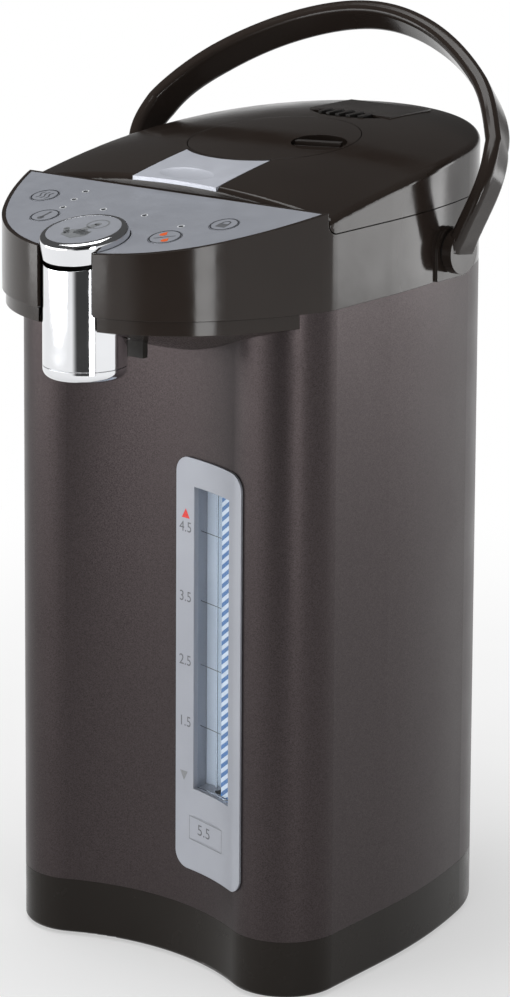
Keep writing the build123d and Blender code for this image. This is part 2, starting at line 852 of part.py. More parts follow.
def cup_lever():
    half = lever_half_width
    lever = bar(-half, half, lever_y - lever_thickness / 2, lever_y + lever_thickness / 2, lever_bottom, lever_pivot_z)
    lever += cross_rod(lever_thickness / 2 + 1, -half, half, lever_y, lever_pivot_z)
    return lever - cross_rod(lever_pin_radius + run_gap, -half - 1, half + 1, lever_y, lever_pivot_z)


def lever_pin():
    return cross_rod(lever_pin_radius, -lever_half_width - 3, lever_half_width + 3, lever_y, lever_pivot_z)


def key_shape(name, grow):
    x, y, width, depth = keys[name]
    return Pos(x, corner_y + y, head_seam) * extrude(Ellipse(width / 2 + grow, depth / 2 + grow), 80)


def control_panel():
    plate = raised(nose_face(panel_inset + fit_gap, panel_back_y - fit_gap), head_seam, lid_top)
    plate = (plate & below_panel(0, 0, back_y)) - below_panel(panel_thickness, 0, back_y)
    plate -= cap_opening(line_gap, 60)
    for name in keys:
        plate -= key_shape(name, run_gap)
    return plate


def panel_key(name):
    key = key_shape(name, 0) & below_panel(-key_proud, 0, back_y)
    return key - below_panel(key_height - key_proud, 0, back_y)


def control_board():
    depth = (panel_thickness + wall) * cos(radians(panel_slope)) + 8
    return cap_place * bar(corner_x - 43.2, corner_x - 5.2, 22, 60, -depth - 1.6, -depth)


def board_spacers():
    top = (panel_thickness + wall) * cos(radians(panel_slope))
    spacer = Pos(0, 0, -top - 4) * Cylinder(2, 8)
    columns = (corner_x - 40.2, corner_x - 8.2)
    return Compound([cap_place * Pos(x, y, 0) * spacer for x in columns for y in (25, 57)])


# ======== power board ========================================================================================
def power_board():
    return bar(-66, -10, pot_y - 12, pot_y + 34, board_z, board_z + 1.6)


def power_board_spacers():
    low = foot_height + cover_thickness
    return Compound([post(2.5, x, y, low, board_z) for x in (-62, -14) for y in (pot_y - 8, pot_y + 30)])


def transformer():
    core = bar(-58, -26, pot_y - 4, pot_y + 26, board_z + 1.6, board_z + 26)
    return fillet(core.edges().filter_by(Axis.Z), 2)


# ======== lid ====================================================================================================
lid_low = parting + line_gap


def hinge_room(grow):
    """Room in the lid for the collar's two knuckles."""
    inner = lid_knuckle_half + run_gap
    outer = hinge_half + 1
    reach = knuckle_radius + grow
    right = bar(inner, outer, hinge_y - reach, back_y + 5, parting - 5, hinge_z + reach)
    return right + mirror(right, Plane.YZ)


def lens(front_sagitta, back_sagitta):
    """The steam vent's outline in plan."""
    left = (-vent_half, vent_y)
    right = (vent_half, vent_y)
    front = ThreePointArc(left, (0, vent_y - front_sagitta), right)
    back = ThreePointArc(right, (0, vent_y + back_sagitta), left)
    return make_face(front + back)


def latch_face(grow, arc_grow):
    front = lid_front_y - 0.5 - grow
    radius = latch_back_radius - arc_grow
    half = latch_half + grow
    corner = plate_y - sqrt(radius ** 2 - half ** 2)
    sides = Polyline((half, corner), (half, front), (-half, front), (-half, corner))
    return make_face(sides + ThreePointArc((-half, corner), (0, plate_y - radius), (half, corner)))


def lid_cover():
    outer = (raised(head_face(), lid_low, lid_top + 10) & lid_space(-line_gap)) & dome(0)
    outer = fillet(outer.faces().sort_by(Axis.Z)[-1].edges(), lid_edge)
    front = lid_front_y + line_gap
    inner = raised(head_face(lid_wall), parting - 1, lid_top) & dome(lid_wall)
    inner = inner & bar(-body_width, body_width, front + lid_wall, back_y, 0, lid_top)
    inner -= bar(-latch_half - 2, latch_half + 2, front, latch_pivot_y - 5, parting + 8, lid_top)
    cover = outer - inner
    tongue = bar(-tongue_half, tongue_half, tongue_front, tongue_back, lid_top - 14, lid_top)
    cover += tongue
    half = lid_knuckle_half
    cover += bar(-half, half, hinge_y - knuckle_radius, back_y - 2, hinge_z, lid_top - 14)
    cover += cross_rod(knuckle_radius, -half, half, hinge_y, hinge_z)
    cover -= hinge_room(run_gap)
    cover -= cross_rod(hinge_pin_radius + run_gap, -half - 1, half + 1, hinge_y, hinge_z)
    cover -= raised(Pos(0, plate_y) * Circle(plate_radius + line_gap), parting, lid_top + 5)
    well = raised(latch_face(line_gap, latch_arc_gap), parting + 3, lid_top + 5)
    cover -= well & bar(-body_width, body_width, latch_pivot_y - 5, plate_y, parting, lid_top + 5)
    cover -= well - dome(latch_thickness + run_gap)
    return cover - raised(lens(11, 6), lid_top - 8, lid_top + 5)


def steam_vent():
    floor = raised(lens(11 - fit_gap, 6 - fit_gap), lid_top - 8, lid_top - 5)
    rib = bar(-1.4, 1.4, vent_y - 12, vent_y + 8, lid_top - 6, lid_top + 1)
    pitch = 2 * vent_half / (vent_ribs + 2)
    for count in range(vent_ribs):
        place = Pos((count - (vent_ribs - 1) / 2) * pitch, 0, 0)
        floor += (place * rib) & raised(lens(9, 6 - fit_gap), lid_top - 7, lid_top + 2)
    return floor & dome(-1)


def lid_liner():
    face = head_face(lid_wall + fit_gap)
    plate = raised(face, lid_low, lid_low + 2)
    plate = plate & bar(-body_width, body_width, lid_front_y + line_gap + lid_wall + 4, hinge_y - 7, 0, lid_top)
    plate += post(plug_radius, 0, pot_y, lid_low - plug_depth, lid_low + 1)
    plate -= post(plug_radius - 2, 0, pot_y, lid_low - plug_depth + 2, lid_low + 3)
    plate -= bar(-9, 9, latch_pivot_y - 4, latch_pivot_y + 4, 0, lid_top)
    plate += pipe(plate_radius + line_gap + 1.5, plate_radius + line_gap, 0, plate_y, lid_low + 1, well_top)
    ear = bar(20, 23, latch_pivot_y - 4, latch_pivot_y + 4, lid_low, latch_pivot_z + 4)
    plate += ear + mirror(ear, Plane.YZ)
    plate -= cross_rod(latch_pin_radius + fit_gap / 2, -25, 25, latch_pivot_y, latch_pivot_z)
    return plate - post(4, 0, pot_y, 0, lid_top)


def lid_gasket():
    low = lid_low - plug_depth / 2
    inner = plug_radius + fit_gap / 2
    return pipe(inner + gasket_width, inner, 0, pot_y, low, low + 5)


def hinge_bracket():
    low = parting - 5.5
    bracket = bar(-hinge_half - 8, hinge_half + 8, hinge_y - 5, back_y - 3, low, low + 1.5)
    for side in (-1, 1):
        inner = side * (lid_knuckle_half + 2 * run_gap)
        outer = side * hinge_half
        x0, x1 = min(inner, outer), max(inner, outer)
        bracket += cross_rod(knuckle_radius, x0, x1, hinge_y, hinge_z)
        bracket += bar(x0, x1, hinge_y - knuckle_radius, hinge_y + knuckle_radius - 2, low, hinge_z)
    return bracket - cross_rod(hinge_pin_radius + fit_gap / 2, -hinge_half - 1, hinge_half + 1, hinge_y, hinge_z)


def hinge_pin():
    return cross_rod(hinge_pin_radius, -hinge_half, hinge_half, hinge_y, hinge_z)


# ======== latch, manual pump and lock knob ==========================================================================
latch_pivot_z = lid_top - 24.0
bellows_top = lid_top - 22.0


def latch_dimple():
    """Shallow oval hollow that lies along the crown's slope."""
    behind = latch_pivot_y + 1 - dome_y
    lean = degrees(atan2(-behind, dome_length_radius))
    top = lid_top - behind ** 2 / (2 * dome_length_radius)
    hollow = scale(Sphere(1), by=(dimple_length / 2, dimple_width / 2, dimple_depth + 0.5))
    return Pos(0, latch_pivot_y + 1, top + 0.5) * Rot(X=lean) * hollow


def latch_button():
    plate = (raised(latch_face(0, 0), parting, lid_top) & dome(0)) - dome(latch_thickness)
    plate -= latch_dimple()
    web = bar(-6, 6, latch_pivot_y - 1.5, latch_pivot_y + 1.5, latch_pivot_z, lid_top)
    plate += web & dome(latch_thickness - 0.2)
    plate += cross_rod(3.2, -19.5, 19.5, latch_pivot_y, latch_pivot_z)
    leg = bar(-7, 7, latch_pivot_y - 1, latch_pivot_y + 1, rim_z - 3, latch_pivot_z)
    hook = bar(-7, 7, latch_pivot_y, latch_pivot_y + 1 + latch_catch, rim_z - 3, rim_z - run_gap)
    button = plate + leg + hook
    return button - cross_rod(latch_pin_radius + run_gap, -20, 20, latch_pivot_y, latch_pivot_z)


def latch_pin():
    return cross_rod(latch_pin_radius, -23, 23, latch_pivot_y, latch_pivot_z)


def latch_spring():
    """Coil that holds the latch's rear edge up."""
    low = lid_low + 2
    length = 16.0
    coil = Helix(pitch=length / 4, height=length, radius=4)
    wire = sweep(Plane(origin=coil @ 0, z_dir=coil % 0) * Circle(spring_wire), coil)
    return Pos(0, latch_pivot_y + 16, low + spring_wire) * wire


def pump_plate():
    plate = (raised(Pos(0, plate_y) * Circle(plate_radius), parting, lid_top) & dome(0)) - dome(plate_thickness)
    rim_low = lid_low + 2 + plate_travel + 1
    plate += pipe(plate_radius, plate_radius - 2, 0, plate_y, rim_low, lid_top) & dome(1)
    plate += post(bellows_radius - 4, 0, plate_y, bellows_top, lid_top) & dome(1)
    dish_z = dish_level()
    plate += post(knob_dish_radius + 1.5, knob_x, plate_y, dish_z - 3, lid_top) & dome(1)
    plate = plate & post(plate_radius, 0, plate_y, parting, lid_top)
    plate -= post(knob_dish_radius, knob_x, plate_y, dish_z, lid_top + 1)
    return plate - post(knob_shaft + run_gap, knob_x, plate_y, bellows_top - 1, lid_top)


def dish_level():
    top = lid_top - (plate_y - dome_y) ** 2 / (2 * dome_length_radius) - knob_x ** 2 / (2 * dome_cross_radius)
    return top - knob_depth


def lock_knob():
    low = dish_level() + run_gap
    knob = post(knob_radius, knob_x, plate_y, low, low + 1.6)
    grip = Pos(knob_x, plate_y, low + 2.5) * Rot(Z=20) * Box(2 * knob_radius - 3, 5, 3.5)
    return knob + grip + post(knob_shaft, knob_x, plate_y, low - 4, low + 1)


def bellows():
    low = lid_low - plug_depth + 2
    step = (bellows_top - low) / bellows_folds
    body = post(bellows_radius - 5, 0, plate_y, low, bellows_top)
    for turn in range(bellows_folds):
        fold = low + turn * step
        body += post(bellows_radius, 0, plate_y, fold + step / 4, fold + 3 * step / 4)
    return body - post(bellows_radius - 8, 0, plate_y, low - 1, bellows_top + 1)


# ======== handle ======================================================================================================
def handle():
    half = [(pad_face_x + x, pivot_y + y, pivot_z + z) for x, y, z in bail_side]
    half += [(x, pivot_y + y, pivot_z + z) for x, y, z in bail_crown]
    other = [(-x, y, z) for x, y, z in half[-2::-1]]
    path = Spline(*(half + other))
    start = Plane(origin=path @ 0, x_dir=(0, 1, 0), z_dir=path % 0)
    bail = sweep(start * RectangleRounded(strap_width, strap_thickness, strap_corner), path)
    inner = pad_face_x + washer_thickness + run_gap
    for side in (-1, 1):
        x0, x1 = sorted((side * inner, side * (inner + eye_thickness)))
        bail += cross_rod(eye_radius, x0, x1, pivot_y, pivot_z)
    for side in (-1, 1):
        x0, x1 = sorted((0, side * inner))
        bail -= cross_rod(eye_radius + 8, x0, x1, pivot_y, pivot_z)
        x0, x1 = sorted((0, side * (inner + pin_depth + run_gap)))
        bail -= cross_rod(handle_pin_radius + run_gap, x0, x1, pivot_y, pivot_z)
    return bail


def handle_washers():
    inner = pad_face_x
    ring = cross_rod(washer_radius, inner, inner + washer_thickness, pivot_y, pivot_z)
    ring -= cross_rod(handle_pin_radius + fit_gap / 2, inner - 1, inner + washer_thickness + 1, pivot_y, pivot_z)
    return Compound([ring, mirror(ring, Plane.YZ)])


def handle_pins():
    inner = pad_face_x - 8
    pin = cross_rod(handle_pin_radius, inner, pad_face_x + washer_thickness + pin_depth, pivot_y, pivot_z)
    return Compound([pin, mirror(pin, Plane.YZ)])


# ======== all pieces ====================================================================================================
pieces = {
    "base_housing": base_housing,
    "bottom_cover": bottom_cover,
    "rubber_feet": rubber_feet,
    "cover_screws": cover_screws,
    "power_inlet": power_inlet,
    "inlet_pins": inlet_pins,
    "inner_pot": inner_pot,
    "band_heater": band_heater,
    "disc_heater": disc_heater,
    "thermostat": thermostat,
    "pot_stand": pot_stand,
    "outer_casing": outer_casing,
    "gauge_frame": gauge_frame,
    "gauge_backing": gauge_backing,
    "gauge_window": gauge_window,
    "level_tube": level_tube,
    "motor_cradle": motor_cradle,
    "pump_motor": pump_motor,
    "pump_housing": pump_housing,
    "impeller_axle": impeller_axle,
    "pump_impeller": pump_impeller,
    "suction_hose": suction_hose,
    "outlet_hose": outlet_hose,
    "riser_hose": riser_hose,
    "spout_shell": spout_shell,
    "spout_ring": spout_ring,
    "spout_nozzle": spout_nozzle,
    "button_seat": button_seat,
    "spout_button": spout_button,
    "button_inlay": button_inlay,
    "button_spring": button_spring,
    "head_collar": head_collar,
    "nose_lower_cover": nose_lower_cover,
    "cup_lever": cup_lever,
    "lever_pin": lever_pin,
    "control_panel": control_panel,
    "control_board": control_board,
    "board_spacers": board_spacers,
    "power_board": power_board,
    "power_board_spacers": power_board_spacers,
    "transformer": transformer,
    "lid_cover": lid_cover,
    "steam_vent": steam_vent,
    "lid_liner": lid_liner,
    "lid_gasket": lid_gasket,
    "hinge_bracket": hinge_bracket,
    "hinge_pin": hinge_pin,
    "latch_button": latch_button,
    "latch_pin": latch_pin,
    "latch_spring": latch_spring,
    "pump_plate": pump_plate,
    "lock_knob": lock_knob,
    "bellows": bellows,
    "handle": handle,
    "handle_washers": handle_washers,
    "handle_pins": handle_pins,
}

os.makedirs("parts", exist_ok=True)
for name, make in pieces.items():
    save(name, make())
for name in keys:
    save(name, panel_key(name))
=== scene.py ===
from math import atan2, cos, pi, radians, sin, sqrt, tan

import bpy
from mathutils import Matrix, Vector


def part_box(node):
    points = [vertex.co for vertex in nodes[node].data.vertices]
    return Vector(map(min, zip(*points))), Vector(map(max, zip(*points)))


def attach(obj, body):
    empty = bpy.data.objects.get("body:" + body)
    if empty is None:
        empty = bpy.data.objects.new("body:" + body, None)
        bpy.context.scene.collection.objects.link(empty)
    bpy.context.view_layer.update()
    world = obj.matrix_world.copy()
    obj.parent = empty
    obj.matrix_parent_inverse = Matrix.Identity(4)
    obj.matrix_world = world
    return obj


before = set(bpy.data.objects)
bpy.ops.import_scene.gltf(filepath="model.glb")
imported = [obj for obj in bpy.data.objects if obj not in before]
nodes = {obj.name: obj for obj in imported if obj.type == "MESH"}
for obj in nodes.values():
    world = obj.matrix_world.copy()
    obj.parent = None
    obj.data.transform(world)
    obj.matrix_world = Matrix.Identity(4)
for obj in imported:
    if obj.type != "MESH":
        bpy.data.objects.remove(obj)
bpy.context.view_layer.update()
MM = 0.001

# ---- places taken from the frame -----------------------------------------------------------------
_, panel_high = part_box("control_panel")
spout_low, spout_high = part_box("spout_shell")
casing_low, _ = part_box("outer_casing")
window_low, window_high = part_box("gauge_window")

# ---- sizes that the graphics follow, in metres ---------------------------------------------------
panel_slope = radians(11.9)
corner_depth = 31.8 * MM              # casing's corner line behind its foremost point
corner_line = casing_low[1] + corner_depth
front_radius = 136.071 * MM           # casing's hollow front
front_reach = 151.071 * MM            # from the corner line to the middle of that radius
front_middle = corner_line - front_reach
spout_y = (spout_low[1] + spout_high[1]) / 2
gauge_proud = 1.4 * MM
print_height = 0.06 * MM              # thickness of printed graphics


# ======== materials ===============================================================================
class Shader:
    """A node material round one Principled BSDF."""

    def __init__(self, name, color, roughness, metallic=0.0, coat=0.0, specular=0.5):
        self.material = bpy.data.materials.new(name)
        self.material.use_nodes = True
        self.tree = self.material.node_tree
        self.bsdf = self.tree.nodes["Principled BSDF"]
        self.bsdf.inputs["Base Color"].default_value = (*color, 1)
        self.bsdf.inputs["Roughness"].default_value = roughness
        self.bsdf.inputs["Metallic"].default_value = metallic
        self.bsdf.inputs["Coat Weight"].default_value = coat
        self.bsdf.inputs["Coat Roughness"].default_value = 0.05
        self.bsdf.inputs["Specular IOR Level"].default_value = specular
        self.material.diffuse_color = (*color, 1)
        self.space = self.node("ShaderNodeTexCoord").outputs["Object"]

    def node(self, kind, **settings):
        """A new node with its settings."""
        made = self.tree.nodes.new(kind)
        for key, value in settings.items():
            setattr(made, key, value)
        return made

    def link(self, source, target):
        self.tree.links.new(source, target)

    def noise(self, scale, detail=2.0, stretch=(1, 1, 1)):
        """Noise over the piece, scale in cycles per metre."""
        place = self.node("ShaderNodeMapping")
        place.inputs["Scale"].default_value = stretch
        self.link(self.space, place.inputs["Vector"])
        noise = self.node("ShaderNodeTexNoise")
        noise.inputs["Scale"].default_value = scale
        noise.inputs["Detail"].default_value = detail
        self.link(place.outputs["Vector"], noise.inputs["Vector"])
        return noise.outputs["Fac"]

    def cells(self, scale):
        """A random value for each small cell."""
        cells = self.node("ShaderNodeTexVoronoi")
        cells.inputs["Scale"].default_value = scale
        self.link(self.space, cells.inputs["Vector"])
        return cells.outputs["Color"]

    def vary(self, socket, value, low, high):
        """Drives one of the shader's inputs between two values."""
        spread = self.node("ShaderNodeMapRange")
        spread.inputs["From Min"].default_value = 0.3
        spread.inputs["From Max"].default_value = 0.7
        spread.inputs["To Min"].default_value = low
        spread.inputs["To Max"].default_value = high
        self.link(value, spread.inputs["Value"])
        self.link(spread.outputs["Result"], self.bsdf.inputs[socket])

    def tint(self, value, dark, light, start=0.3, end=0.7):
        """Colour between two shades."""
        ramp = self.node("ShaderNodeValToRGB")
        ramp.color_ramp.elements[0].position = start
        ramp.color_ramp.elements[0].color = (*dark, 1)
        ramp.color_ramp.elements[1].position = end
        ramp.color_ramp.elements[1].color = (*light, 1)
        self.link(value, ramp.inputs["Fac"])
        self.link(ramp.outputs["Color"], self.bsdf.inputs["Base Color"])

    def bump(self, value, strength, height, soft_edge=0.0):
        """Fine relief, over edges softened by a small radius."""
        bump = self.node("ShaderNodeBump")
        bump.inputs["Strength"].default_value = strength
        bump.inputs["Distance"].default_value = height
        self.link(value, bump.inputs["Height"])
        if soft_edge:
            edge = self.node("ShaderNodeBevel", samples=4)
            edge.inputs["Radius"].default_value = soft_edge
            self.link(edge.outputs["Normal"], bump.inputs["Normal"])
        self.link(bump.outputs["Normal"], self.bsdf.inputs["Normal"])


def gloss_plastic(name, dark, light, roughness=0.16, specular=0.27):
    """Moulded, polished plastic with a faint ripple and dust."""
    shader = Shader(name, light, roughness, specular=specular)
    shader.tint(shader.noise(9, 3), dark, light)
    shader.vary("Roughness", shader.noise(60, 5), roughness * 0.8, roughness * 1.5)
    shader.bump(shader.noise(170, 2), 0.06, 0.4 * MM, 0.35 * MM)
    return shader.material


def matte_plastic(name, dark, light, roughness=0.55):
    """Fine-grained plastic."""
    shader = Shader(name, light, roughness)
    shader.tint(shader.noise(40, 4), dark, light)
    shader.vary("Roughness", shader.noise(300, 4), roughness * 0.85, roughness * 1.15)
    shader.bump(shader.noise(2500, 3), 0.25, 0.1 * MM, 0.3 * MM)
    return shader.material


def sparkle_paint(name, dark, light):
    """Metallic paint on sheet steel: flakes of differing brightness under a satin clear coat."""
    shader = Shader(name, light, 0.36, metallic=0.9, specular=0.3)
    shader.tint(shader.cells(2400), dark, light, 0.05, 0.95)
    shader.vary("Roughness", shader.noise(25, 3), 0.33, 0.40)
    shader.bump(shader.noise(2200, 3), 0.15, 0.08 * MM, 0.2 * MM)
    return shader.material


def satin_silver(name, dark, light):
    """Silver paint on plastic."""
    shader = Shader(name, light, 0.34, metallic=0.25, coat=0.1)
    shader.tint(shader.noise(14, 3), dark, light)
    shader.vary("Roughness", shader.noise(120, 4), 0.30, 0.42)
    shader.bump(shader.noise(2200, 3), 0.12, 0.08 * MM, 0.2 * MM)
    return shader.material


def polished_chrome(name):
    """Plated plastic, with a little haze."""
    shader = Shader(name, (0.80, 0.81, 0.83), 0.05, metallic=1.0)
    shader.tint(shader.noise(20, 2), (0.74, 0.75, 0.77), (0.84, 0.85, 0.87))
    shader.vary("Roughness", shader.noise(90, 5), 0.03, 0.09)
    shader.bump(shader.noise(120, 2), 0.03, 0.2 * MM, 0.3 * MM)
    return shader.material


def brushed_steel(name):
    """Sheet and turned steel with fine lines round it."""
    shader = Shader(name, (0.6, 0.6, 0.6), 0.3, metallic=1.0)
    lines = shader.noise(500, 3, (1, 1, 14))
    shader.tint(lines, (0.50, 0.50, 0.50), (0.66, 0.66, 0.65))
    shader.vary("Roughness", lines, 0.24, 0.4)
    shader.bump(lines, 0.15, 0.05 * MM)
    return shader.material


def rubber(name):
    """Matt black rubber with a fine grain."""
    shader = Shader(name, (0.02, 0.02, 0.02), 0.7)
    shader.tint(shader.noise(60, 4), (0.014, 0.014, 0.014), (0.03, 0.03, 0.03))
    shader.vary("Roughness", shader.noise(200, 3), 0.6, 0.8)
    shader.bump(shader.noise(1500, 3), 0.3, 0.1 * MM)
    return shader.material


def clear_plastic(name):
    """Transparent sheet with faint streaks."""
    shader = Shader(name, (0.93, 0.96, 0.98), 0.05)
    shader.bsdf.inputs["Transmission Weight"].default_value = 1.0
    shader.bsdf.inputs["IOR"].default_value = 1.12
    shader.vary("Roughness", shader.noise(70, 4), 0.02, 0.09)
    shader.bump(shader.noise(60, 2), 0.04, 0.2 * MM)
    return shader.material


def printed(name, color, roughness=0.45):
    """Ink, a little uneven."""
    shader = Shader(name, color, roughness)
    faded = tuple(channel * 0.8 for channel in color)
    shader.tint(shader.noise(900, 3), faded, color)
    shader.vary("Roughness", shader.noise(400, 3), roughness * 0.9, roughness * 1.1)
    return shader.material


def striped(name, blue, white, pitch, slope):
    """Slanted bands, seen through the gauge's liquid."""
    shader = Shader(name, white, 0.4)
    split = shader.node("ShaderNodeSeparateXYZ")
    shader.link(shader.space, split.inputs["Vector"])
    lean = shader.node("ShaderNodeMath", operation="MULTIPLY")
    lean.inputs[1].default_value = slope
    shader.link(split.outputs["X"], lean.inputs[0])
    along = shader.node("ShaderNodeMath", operation="ADD")
    shader.link(split.outputs["Z"], along.inputs[0])
    shader.link(lean.outputs["Value"], along.inputs[1])
    turn = shader.node("ShaderNodeMath", operation="MULTIPLY")
    turn.inputs[1].default_value = 1 / pitch
    shader.link(along.outputs["Value"], turn.inputs[0])
    part = shader.node("ShaderNodeMath", operation="FRACT")
    shader.link(turn.outputs["Value"], part.inputs[0])
    shader.tint(part.outputs["Value"], blue, white, 0.47, 0.53)
    shader.vary("Roughness", shader.noise(400, 3), 0.35, 0.45)
    return shader.material


brown = gloss_plastic("BrownGloss", (0.0195, 0.0145, 0.0120), (0.0250, 0.0190, 0.0158), 0.12)
base_brown = gloss_plastic("BaseGloss", (0.0095, 0.0072, 0.0055), (0.0125, 0.0098, 0.0076), 0.2, 0.16)
casing_paint = sparkle_paint("CasingPaint", (0.033, 0.0265, 0.027), (0.062, 0.051, 0.052))
silver = satin_silver("PanelSilver", (0.31, 0.325, 0.365), (0.35, 0.365, 0.405))
key_silver = satin_silver("KeySilver", (0.32, 0.335, 0.375), (0.36, 0.375, 0.415))
inlay_silver = satin_silver("InlaySilver", (0.33, 0.345, 0.385), (0.38, 0.395, 0.435))
latch_silver = satin_silver("LatchSilver", (0.50, 0.52, 0.58), (0.56, 0.58, 0.64))
strip_blue = matte_plastic("GaugeBack", (0.62, 0.68, 0.78), (0.68, 0.74, 0.84), 0.4)
chrome = polished_chrome("Chrome")
steel = brushed_steel("Steel")
dark_plastic = matte_plastic("DarkPlastic", (0.012, 0.010, 0.009), (0.020, 0.017, 0.015))
board_green = matte_plastic("Board", (0.01, 0.08, 0.03), (0.015, 0.12, 0.045))
black_rubber = rubber("Rubber")
clear = clear_plastic("Clear")
grey_ink = printed("GreyInk", (0.12, 0.125, 0.135))
dark_ink = printed("DarkInk", (0.025, 0.028, 0.035))
orange_ink = printed("OrangeInk", (0.80, 0.12, 0.015))
red_ink = printed("RedInk", (0.75, 0.02, 0.01))
icon_ink = printed("IconInk", (0.22, 0.23, 0.24))
white_ink = printed("WhiteInk", (0.7, 0.72, 0.74))
stripes = striped("Stripes", (0.05, 0.15, 0.36), (0.60, 0.66, 0.74), 5.3 * MM, -0.75)

looks = {
    brown: ["head_collar", "nose_lower_cover", "lid_cover", "handle", "pump_plate", "lock_knob"],
    base_brown: ["base_housing"],
    casing_paint: ["outer_casing"],
    silver: ["control_panel", "gauge_frame"],
    key_silver: ["boil_key", "warm_key", "dispense_key", "lock_key"],
    inlay_silver: ["button_inlay"],
    strip_blue: ["gauge_backing"],
    chrome: ["spout_shell", "spout_ring", "spout_button"],
    latch_silver: ["latch_button"],
    steel: [
        "inner_pot", "band_heater", "disc_heater", "cover_screws", "inlet_pins", "pump_motor",
        "impeller_axle", "lever_pin", "hinge_pin", "latch_pin", "latch_spring", "button_spring",
        "transformer", "handle_pins",
    ],
    dark_plastic: [
        "bottom_cover", "power_inlet", "thermostat", "pot_stand", "motor_cradle", "pump_housing",
        "pump_impeller", "spout_nozzle", "button_seat", "cup_lever", "board_spacers",
        "power_board_spacers", "steam_vent", "lid_liner", "hinge_bracket", "handle_washers",
    ],
    board_green: ["control_board", "power_board"],
    black_rubber: ["rubber_feet", "lid_gasket", "suction_hose", "outlet_hose", "riser_hose", "bellows"],
    clear: ["gauge_window", "level_tube"],
}
for material, names in looks.items():
    for name in names:
        for slot in nodes[name].material_slots:
            slot.material = material


# ======== flat graphics ===========================================================================
def circle_points(x, y, rx, ry, count=40):
    """Points round an ellipse."""
    return [(x + rx * cos(2 * pi * i / count), y + ry * sin(2 * pi * i / count)) for i in range(count)]


def ring_faces(x, y, rx, ry, width):
    """A flat ring as four-sided faces."""
    outer = circle_points(x, y, rx, ry)
    inner = circle_points(x, y, rx - width, ry - width)
    count = len(outer)
    return [[outer[i], outer[(i + 1) % count], inner[(i + 1) % count], inner[i]] for i in range(count)]


def stroke_faces(points, width):
    """A line of some width through the points, with round ends."""
    faces = []
    for (x0, y0), (x1, y1) in zip(points, points[1:]):
        angle = atan2(y1 - y0, x1 - x0)
        dx, dy = -sin(angle) * width / 2, cos(angle) * width / 2
        faces.append([(x0 + dx, y0 + dy), (x0 - dx, y0 - dy), (x1 - dx, y1 - dy), (x1 + dx, y1 + dy)])
    faces += [circle_points(x, y, width / 2, width / 2, 10) for x, y in points]
    return faces


def text_faces(text, size, x, y, squeeze=1.0):
    """Outlines of a line of figures, centred on a point, as faces."""
    curve = bpy.data.curves.new("Figures", "FONT")
    curve.body = text
    curve.size = size
    curve.align_x = "CENTER"
    curve.align_y = "CENTER"
    holder = bpy.data.objects.new("Figures", curve)
    mesh = bpy.data.meshes.new_from_object(holder)
    points = [(x + vertex.co.x * squeeze, y + vertex.co.y) for vertex in mesh.vertices]
    faces = [[points[i] for i in polygon.vertices] for polygon in mesh.polygons]
    bpy.data.objects.remove(holder)
    bpy.data.curves.remove(curve)
    bpy.data.meshes.remove(mesh)
    return faces


def graphic(name, faces, place, material, body):
    """Faces in the flat, laid on a surface by place(x, y)."""
    vertices = []
    indices = []
    for face in faces:
        indices.append(list(range(len(vertices), len(vertices) + len(face))))
        vertices += [place(x, y) for x, y in face]
    mesh = bpy.data.meshes.new(name)
    mesh.from_pydata(vertices, [], indices)
    mesh.materials.append(material)
    piece = bpy.data.objects.new(name, mesh)
    bpy.context.scene.collection.objects.link(piece)
    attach(piece, body)
    return piece


def on_panel(lift):
    """Places a point x, y from the spout's middle on the sloped panel, some way above it."""
    rise = tan(panel_slope)
    origin = Vector((0, spout_y, panel_high[2] + (spout_y - panel_high[1]) * rise))
    turn = Matrix.Rotation(panel_slope, 4, "X")
    return lambda x, y: origin + turn @ Vector((x, y, lift))


def on_gauge(lift):
    """Places a point x, z on the gauge's curved frame, some way ahead of it."""
    radius = front_radius - gauge_proud - lift
    return lambda x, z: Vector((x, front_middle + sqrt(radius ** 2 - x ** 2), z))


def panel_spot(x, y):
    """A place on the panel given in plan, x and y from the corner line."""
    return x, (corner_line + y - spout_y) / cos(panel_slope)


# ---- panel: key outlines, lamps and signs --------------------------------------------------------
key_size = (15.5 * MM, 16.6 * MM)
main_key_size = (17.5 * MM, 18.4 * MM)
key_spots = {
    "boil_key": (panel_spot(-66.9 * MM, -36.9 * MM), key_size),
    "warm_key": (panel_spot(-45.6 * MM, -61.0 * MM), key_size),
    "dispense_key": (panel_spot(40.7 * MM, -64.3 * MM), main_key_size),
    "lock_key": (panel_spot(59.9 * MM, -39.0 * MM), key_size),
}
key_proud = 0.2 * MM
key_top = key_proud + print_height
for key, ((x, y), (width, depth)) in key_spots.items():
    outline = ring_faces(x, y, width / 2 - 0.1 * MM, depth / 2 - 0.1 * MM, 0.8 * MM)
    graphic(f"{key}_outline", outline, on_panel(key_top), dark_ink, key)


def drop_shape(x, y, size):
    """A water drop, pointed towards the lid."""
    points = []
    for step in range(24):
        angle = 2 * pi * step / 24
        pull = max(0.0, sin(angle)) ** 3
        across = size * cos(angle) * (1 - 0.75 * pull)
        along = size * sin(angle) * (1 + 0.9 * pull)
        points.append((x + across, y + along))
    return [points]


(drop_x, drop_y), _ = key_spots["dispense_key"]
drops = drop_shape(drop_x - 3.2 * MM, drop_y + 2.6 * MM, 2.0 * MM)
drops += drop_shape(drop_x + 3.0 * MM, drop_y - 4.2 * MM, 2.0 * MM)
graphic("dispense_drops", drops, on_panel(key_top), orange_ink, "dispense_key")
slash_ends = [(drop_x - 4.5 * MM, drop_y - 3.6 * MM), (drop_x + 4.5 * MM, drop_y + 3.0 * MM)]
slash = stroke_faces(slash_ends, 0.5 * MM)
graphic("dispense_slash", slash, on_panel(key_top), dark_ink, "dispense_key")


